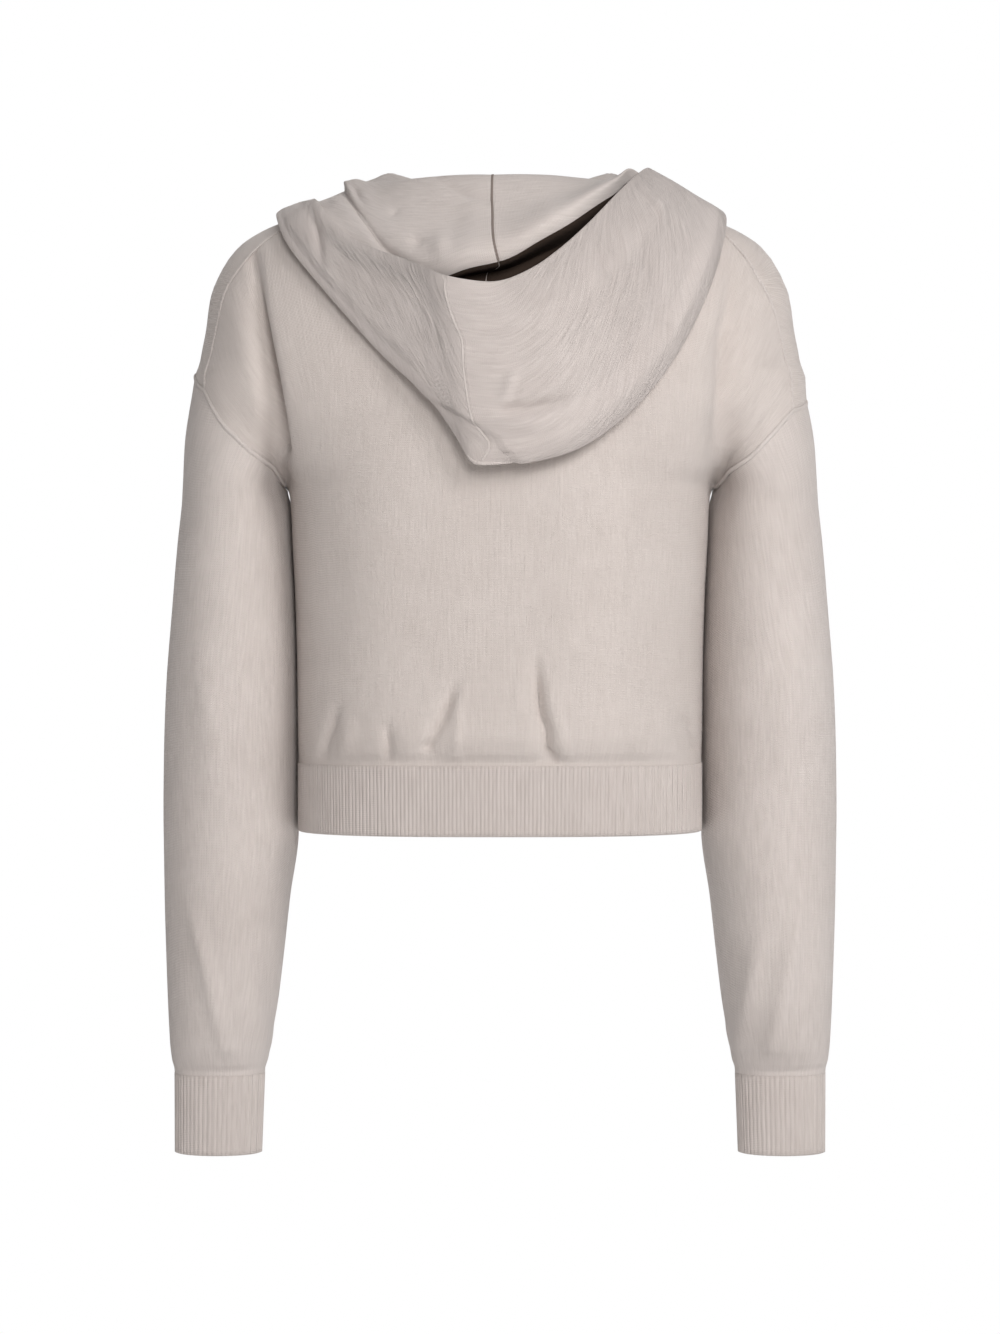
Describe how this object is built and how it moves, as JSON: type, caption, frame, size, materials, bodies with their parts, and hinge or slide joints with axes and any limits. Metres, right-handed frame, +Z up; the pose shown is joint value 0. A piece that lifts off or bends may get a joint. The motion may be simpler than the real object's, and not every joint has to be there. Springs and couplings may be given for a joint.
{
  "type": "zip-up hoodie",
  "caption": "Cropped drop-shoulder hoodie in fine knit, hollow in its worn form, hood down the back, rib hem and cuffs, closed front zip with a swinging pull tab.",
  "frame": {"origin": "middle of the neck opening at shoulder height, where the wearer holds the garment up", "axes": "+Z up, -Y the front with the zip, +X the wearer's left"},
  "size_m": [0.4878, 0.2788, 0.7092],
  "materials": {
    "knit": "fine stockinette knit, matt, soft sheen",
    "rib": "fine rib knit, matt",
    "zip_tape": "woven tape, matt",
    "zip_metal": "satin nickel"
  },
  "bodies": {
    "garment": {"back": "knit", "front_left": "knit", "front_right": "knit", "sleeve_left": "knit", "sleeve_right": "knit", "hood_left": "knit", "hood_right": "knit", "cuff_left": "rib", "cuff_right": "rib", "hem_back": "rib", "hem_front_left": "rib", "hem_front_right": "rib", "zip_tape_left": "zip_tape", "zip_tape_right": "zip_tape", "zip_chain": "zip_metal", "zip_slider": "zip_metal", "zip_stop": "zip_metal"},
    "pull_tab": {"zip_pull": "zip_metal"}
  },
  "joints": [
    {"name": "pull_tab_swing", "type": "hinge", "parent": "garment", "child": "pull_tab", "pos_m": [0, -0.10637, -0.08474], "axis": [-1, 0, 0], "range_deg": [0, 140]}
  ]
}
